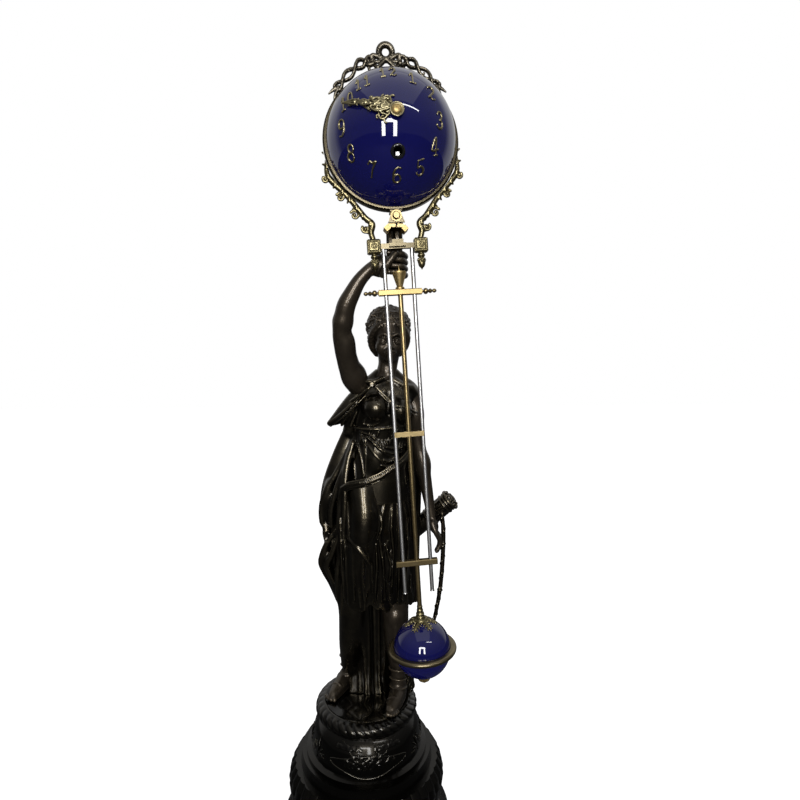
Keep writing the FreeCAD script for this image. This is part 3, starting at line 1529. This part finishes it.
def fluted_base():
    """Hollow foot and bulging skirt, its band lobed all round like a bundle of reeds."""
    wall = size.base_wall
    count = int(size.flute_count)
    outline = [
        (0, size.ledge_height), (0, size.flute_high - wall), (size.flute_high_radius - 2 * wall, size.flute_high - wall),
        (size.flute_low_radius - 2 * wall, size.flute_low), (size.waist_radius - 2 * wall, size.foot_rise),
        (size.waist_radius - 2 * wall, size.bottom_plate_thickness + size.felt_thickness),
        (size.foot_radius - wall, size.bottom_plate_thickness + size.felt_thickness),
        (size.foot_radius - wall, 0), (size.foot_radius, 0), (size.foot_radius, size.foot_height),
        (size.waist_radius, size.foot_rise), (size.flute_low_radius - wall, size.flute_low),
        (size.flute_high_radius - wall, size.flute_high), (size.ledge_radius + wall, size.ledge_height - wall / 2),
        (size.ledge_radius + wall, size.ledge_height),
    ]
    points = [Vector(radius, 0, height) for radius, height in outline]
    core = Part.Face(Part.makePolygon(points + points[:1])).revolve(Vector(), Vector(0, 0, 1), 360)
    middle = (size.flute_low + size.flute_high) / 2
    bulge = (size.flute_mid_radius - size.flute_low_radius) * 0.75
    levels = [
        (size.flute_low, size.flute_low_radius),
        ((size.flute_low + middle) / 2, size.flute_low_radius + bulge),
        (size.flute_mid, size.flute_mid_radius),
        ((size.flute_mid + size.flute_high) / 2, (size.flute_mid_radius + size.flute_high_radius) / 2 + wall / 3),
        (size.flute_high, size.flute_high_radius),
    ]
    wires = []
    for height, radius in levels:
        edges = []
        for lobe in range(count):
            ends = []
            for share in (0.0, 0.5, 1.0):
                angle = 2 * math.pi * (lobe + share) / count
                out = radius + (size.flute_depth if share == 0.5 else 0)
                ends.append(Vector(out * math.cos(angle), out * math.sin(angle), height))
            edges.append(Part.Arc(*ends).toShape())
        wires.append(Part.Wire(edges))
    lobes = Part.makeLoft(wires, True, True)
    inside_points = [
        Vector(0, 0, size.flute_low), Vector(size.flute_low_radius - 2 * wall, 0, size.flute_low),
        Vector(size.flute_high_radius - 2 * wall, 0, size.flute_high - wall), Vector(0, 0, size.flute_high - wall),
    ]
    inside = Part.Face(Part.makePolygon(inside_points + inside_points[:1])).revolve(Vector(), Vector(0, 0, 1), 360)
    whole = core.fuse(lobes).cut(inside)
    bore = Part.makeCylinder(size.tie_radius, size.ledge_height)
    keep(shaped("fluted_base", largest(whole.cut(bore))), "fluted_base", hung=False)


def base_dome():
    """Dome with a square-edged ledge, standing on the fluted base."""
    corners = [
        ("tie_radius", "ledge_height"),
        ("ledge_radius", "ledge_height"),
        ("ledge_radius", "ledge_height + ledge_lip"),
        ("dome_foot_radius", "ledge_height + ledge_lip * 1.6", "ledge_height"),
        ("dome_shoulder", "dome_height - ledge_lip * 4", "ledge_height / 3"),
        ("dome_top_radius", "dome_height"),
        ("tie_radius", "dome_height"),
    ]
    keep(turned_on_z("base_dome", corners), "base_dome", hung=False)


def mound():
    """Ground under the figure, with a thick rolled edge cut into slanting lobes."""
    count = 30
    bead = size.mound_bead
    corners = [
        (size.tie_radius, size.dome_height), (size.mound_radius - bead, size.dome_height),
        (size.mound_radius - bead, size.ground_height), (size.tie_radius, size.ground_height),
    ]
    points = [Vector(radius, 0, height) for radius, height in corners]
    core = Part.Face(Part.makePolygon(points + points[:1])).revolve(Vector(), Vector(0, 0, 1), 360)
    wires = []
    rows = ((0.0, -0.5), (0.22, -0.08), (0.5, 0.0), (0.78, -0.1), (0.94, -0.45))
    height = size.ground_height - size.dome_height
    for share, inset in rows:
        radius = size.mound_radius + inset * bead
        edges = []
        for lobe in range(count):
            ends = []
            for part_way in (0.0, 0.5, 1.0):
                angle = 2 * math.pi * (lobe + part_way + share) / count
                out = radius + (0 if part_way == 0.5 else -size.flute_depth)
                ends.append(Vector(out * math.cos(angle), out * math.sin(angle), size.dome_height + share * height))
            edges.append(Part.Arc(*ends).toShape())
        wires.append(Part.Wire(edges))
    rolled = Part.makeLoft(wires, True, True)
    bore = Part.makeCylinder(size.tie_radius, size.ground_height)
    keep(shaped("mound", core.fuse(rolled).cut(bore)), "mound", hung=False)


def base_underside():
    """Bottom plate and the felt under it."""
    plate = [
        ("tie_radius", "felt_thickness"),
        ("foot_radius - base_wall", "felt_thickness"),
        ("foot_radius - base_wall", "felt_thickness + bottom_plate_thickness"),
        ("tie_radius", "felt_thickness + bottom_plate_thickness"),
    ]
    keep(turned_on_z("bottom_plate", plate), "bottom_plate", hung=False)
    felt = [
        ("0", "0"),
        ("foot_radius - base_wall", "0"),
        ("foot_radius - base_wall", "felt_thickness"),
        ("0", "felt_thickness"),
    ]
    keep(turned_on_z("felt_disc", felt), "felt_disc", hung=False)


fluted_base()
base_dome()
mound()
base_underside()

# Figure. Shares are of the figure's height, heights from the ground it stands on.

tall = size.figure_height
ground = size.ground_height


def solid_cut(shape, *others):
    """What is left of a shape, less its neighbours, as one solid."""
    left = shape
    for other in others:
        left = left.cut(other)
    return largest(left)


skirt_rows = (
    (0.243, 0.026, 0.018, 0.088, 0.064),
    (0.270, 0.022, 0.016, 0.098, 0.068),
    (0.356, 0.016, 0.014, 0.106, 0.074),
    (0.469, 0.018, 0.010, 0.104, 0.072),
    (0.537, 0.026, 0.006, 0.086, 0.062),
)
bodice_rows = (
    (0.537, 0.026, 0.006, 0.086, 0.062),
    (0.646, 0.034, 0.000, 0.066, 0.050),
    (0.701, 0.040, -0.006, 0.070, 0.056),
    (0.760, 0.046, -0.010, 0.078, 0.062),
    (0.803, 0.050, 0.000, 0.082, 0.046),
    (0.825, 0.052, -0.002, 0.040, 0.032),
    (0.846, 0.054, -0.006, 0.026, 0.027),
    (0.866, 0.056, -0.010, 0.025, 0.026),
)
head_rows = (
    (0.850, 0.060, -0.040, 0.016, 0.016),
    (0.866, 0.060, -0.026, 0.032, 0.036),
    (0.896, 0.061, -0.016, 0.042, 0.050),
    (0.927, 0.062, -0.010, 0.053, 0.058),
    (0.959, 0.063, -0.006, 0.056, 0.058),
    (0.986, 0.063, -0.004, 0.040, 0.042),
    (1.000, 0.063, -0.003, 0.016, 0.018),
)
right_leg_rows = (
    (0.243, -0.034, 0.016, 0.040, 0.040),
    (0.190, -0.036, 0.024, 0.036, 0.038),
    (0.130, -0.040, 0.036, 0.030, 0.033),
    (0.060, -0.044, 0.050, 0.019, 0.021),
    (0.020, -0.046, 0.056, 0.021, 0.026),
    (0.000, -0.048, 0.054, 0.023, 0.030),
)
left_leg_rows = (
    (0.243, 0.072, 0.012, 0.040, 0.040),
    (0.190, 0.076, 0.004, 0.036, 0.038),
    (0.130, 0.078, -0.004, 0.030, 0.033),
    (0.060, 0.080, -0.010, 0.019, 0.021),
    (0.020, 0.080, -0.014, 0.021, 0.026),
    (0.000, 0.080, -0.018, 0.023, 0.030),
)
right_foot_rows = (
    (-0.050, 0.075, 0.012, 0.018),
    (-0.058, 0.050, 0.014, 0.021),
    (-0.074, 0.022, 0.010, 0.021),
    (-0.086, -0.004, 0.006, 0.017),
    (-0.092, -0.018, 0.004, 0.009),
)
left_foot_rows = (
    (0.086, 0.006, 0.012, 0.018),
    (0.080, -0.020, 0.014, 0.021),
    (0.066, -0.050, 0.010, 0.021),
    (0.054, -0.076, 0.006, 0.017),
    (0.050, -0.092, 0.004, 0.009),
)
raised_arm_rows = (
    (0.012, -0.016, 0.772, 0.034),
    (-0.018, -0.026, 0.806, 0.033),
    (-0.044, -0.050, 0.861, 0.027),
    (-0.056, -0.080, 0.915, 0.024),
    (-0.048, -0.100, 0.968, 0.023),
    (-0.027, -0.107, 1.012, 0.021),
    (-0.008, -0.107, 1.050, 0.016),
    (0.022, -0.109, 1.072, 0.015),
    (0.050, -0.110, 1.079, 0.016),
)
lowered_arm_rows = (
    (0.100, 0.008, 0.790, 0.034),
    (0.126, 0.010, 0.750, 0.032),
    (0.134, 0.012, 0.680, 0.025),
    (0.146, 0.014, 0.600, 0.021),
    (0.158, 0.008, 0.520, 0.017),
    (0.172, -0.002, 0.440, 0.013),
    (0.180, -0.006, 0.400, 0.014),
    (0.182, -0.008, 0.366, 0.008),
)
cape_rows = ((-0.010, 0.690), (-0.060, 0.610), (-0.088, 0.520), (-0.100, 0.450), (-0.096, 0.380), (-0.078, 0.290), (-0.070, 0.220))
cape_width_shares = (0.060, 0.075, 0.080, 0.072, 0.062, 0.042, 0.016)
bow_rows = ((0.186, 0.004, 0.500), (0.197, 0.002, 0.430), (0.198, 0.002, 0.340), (0.186, 0.004, 0.250), (0.168, 0.010, 0.168))
quiver_foot_shares = (0.118, 0.062, 0.400)
quiver_mouth_shares = (0.222, 0.026, 0.500)


def spot(x, y, height):
    """A place on the figure from its shares."""
    return Vector(x * tall, y * tall, ground + height * tall)


def leg(leg_rows, foot_rows, skirt):
    """Leg and foot as one solid, cut level where it stands."""
    shank = level_loft(leg_rows, tall, ground)
    foot = limb(foot_rows_spread(foot_rows), tall, ground)
    below = Part.makeBox(
        2 * size.foot_radius, 2 * size.foot_radius, size.ground_height,
        Vector(-size.foot_radius, -size.foot_radius, 0),
    )
    return solid_cut(shank.fuse(foot), below, skirt)


def foot_rows_spread(rows):
    """Foot rows are x, y, height and radius already."""
    return [(x, y, height, radius) for x, y, height, radius in rows]


def figure():
    """The standing figure's pieces, each cut where it meets the one before."""
    skirt = level_loft(skirt_rows, tall, ground)
    bodice = level_loft(bodice_rows, tall, ground)
    head = solid_cut(level_loft(head_rows, tall, ground), bodice)
    hand_place = Vector(
        size.pivot_x, size.pivot_y + size.post_setback,
        size.pivot_z - size.yoke_drop - size.yoke_thickness - size.post_length + size.fist_radius,
    )
    fist = Part.makeSphere(size.fist_radius, hand_place)
    arm = limb(raised_arm_rows, tall, ground).fuse(fist)
    post = next(item for item in parts if item.Label == "hand_post")
    arm = solid_cut(arm, bodice, head, post.Shape)
    lowered = solid_cut(limb(lowered_arm_rows, tall, ground), bodice, skirt)
    legs = [leg(right_leg_rows, right_foot_rows, skirt), leg(left_leg_rows, left_foot_rows, skirt)]
    cape_points = [(x * tall, ground + height * tall) for x, height in cape_rows]
    cape_widths = [share * tall for share in cape_width_shares]
    cape = ribbon(cape_points, cape_widths, size.cape_y - size.cape_depth / 2, size.cape_depth)
    cape = solid_cut(cape, skirt, bodice, arm, *legs)
    foot = spot(*quiver_foot_shares)
    way = (spot(*quiver_mouth_shares) - foot).normalize()
    quiver = Part.makeCylinder(size.quiver_radius, size.quiver_length, foot, way)
    lip = Part.makeCylinder(
        size.quiver_radius + size.quiver_lip, 2 * size.quiver_lip, foot + way * size.quiver_length, way
    )
    quiver = solid_cut(quiver.fuse(lip), skirt, lowered, bodice)
    bow_line = limb([row + (size.bow_radius / tall,) for row in bow_rows], tall, ground)
    bow = solid_cut(bow_line, lowered, skirt, quiver)
    stump_top = Vector(size.stump_x + size.stump_lean, size.stump_y, ground + size.stump_height)
    stump_foot = Vector(size.stump_x - size.stump_lean, size.stump_y, ground)
    stump_middle = (stump_top + stump_foot) / 2
    stump = Part.makeLoft([
        oval(stump_foot, size.stump_radius * 1.15, size.stump_radius),
        oval(stump_middle, size.stump_radius, size.stump_radius),
        oval(stump_top, size.stump_radius * 1.1, size.stump_radius * 1.1),
    ], True, True)
    stump = solid_cut(stump, skirt, *legs)
    names = {
        "figure_skirt": skirt,
        "figure_bodice": bodice,
        "figure_head": head,
        "raised_arm": arm,
        "lowered_arm": lowered,
        "figure_legs": Part.makeCompound(legs),
        "cape": cape,
        "quiver": quiver,
        "bow": bow,
        "tree_stump": stump,
    }
    for name, shape in names.items():
        keep(shaped(name, shape), name, hung=False)


doc.recompute()
figure()


def tie_rod():
    """Threaded rod from the mound down through the base, with the nut that draws it all together."""
    top = "ground_height - mound_bead / 2"
    seat = "felt_thickness + bottom_plate_thickness"
    screw = rod("tie_screw", "tie_radius", f"{top} - felt_thickness", z="felt_thickness")
    nut = rod("tie_nut", "tie_nut_radius", "tie_nut_height", z=seat)
    bore = rod("tie_nut_bore", "tie_radius", "overrun", z="0")
    keep(together("tie_rod", [screw, cut("tie_nut_bored", nut, bore)]), "tie_rod", hung=False)


tie_rod()
doc.recompute()

os.makedirs("parts", exist_ok=True)
for item in doc.Objects:
    if "Invalid" in item.State or "Error" in item.State:
        raise RuntimeError(f"{item.Label} failed: {item.State}")
for item in parts:
    if item.Shape.isNull() or not item.Shape.isValid():
        raise RuntimeError(f"{item.Label} has no valid shape")
for item in parts:
    item.Shape.exportStep(f"parts/{item.Label}.step")
print(f"{len(parts)} nodes, {sum(len(item.Shape.Solids) for item in parts)} solids")
